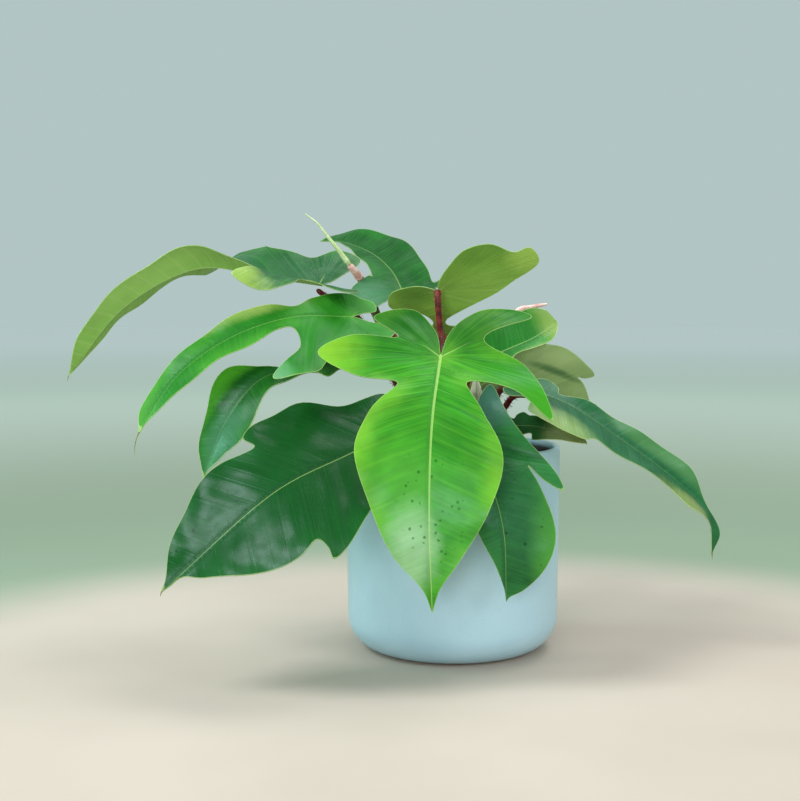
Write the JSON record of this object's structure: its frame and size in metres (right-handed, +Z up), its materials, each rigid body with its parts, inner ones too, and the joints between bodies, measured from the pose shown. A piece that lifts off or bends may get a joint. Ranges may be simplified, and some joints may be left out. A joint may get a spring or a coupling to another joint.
{
  "type": "potted philodendron squamiferum",
  "caption": "Potted philodendron with lobed glossy leaves on bristly red stalks, in a round pale blue glazed pot filled with soil.",
  "frame": {"origin": "centre of the pot's foot, on the surface that it stands on", "axes": "+Z up, -Y towards the front of the plant as pictured, +X to the right in that view"},
  "size_m": [0.4174, 0.2788, 0.2853],
  "materials": {
    "pot_glaze": "satin pale blue glaze",
    "soil": "dark crumbly potting soil",
    "leaf_young": "bright lime green, soft gloss",
    "leaf_mid": "mid green, soft gloss, olive below",
    "leaf_dark": "dark green, glossy, olive below",
    "leaf_rolled": "pale yellow-green, smooth",
    "stalk": "dark red with soft bristles",
    "stem": "brownish green, dull",
    "sheath_pink": "pale pink, thin and dull",
    "sheath_dry": "cream, dry and papery"
  },
  "bodies": {
    "root": {"pot": "pot_glaze", "soil": "soil", "leaf_front": "leaf_young", "stalk_front": "stalk", "leaf_front_left": "leaf_dark", "stalk_front_left": "stalk", "leaf_front_right": "leaf_dark", "stalk_front_right": "stalk", "leaf_left_drooping": "leaf_dark", "stalk_left_drooping": "stalk", "leaf_left_arching": "leaf_mid", "stalk_left_arching": "stalk", "leaf_left_upper": "leaf_mid", "stalk_left_upper": "stalk", "leaf_top_centre": "leaf_mid", "stalk_top_centre": "stalk", "leaf_top_right": "leaf_mid", "stalk_top_right": "stalk", "leaf_right_upper": "leaf_mid", "stalk_right_upper": "stalk", "leaf_right_pale": "leaf_mid", "stalk_right_pale": "stalk", "leaf_right_arching": "leaf_dark", "stalk_right_arching": "stalk", "leaf_rim_right": "leaf_dark", "stalk_rim_right": "stalk", "sheath_cream": "sheath_dry", "stem_left": "stem", "sheath_left": "sheath_pink", "new_leaf": "leaf_rolled", "stem_right": "stem", "sheath_right": "sheath_pink"}
  },
  "joints": []
}
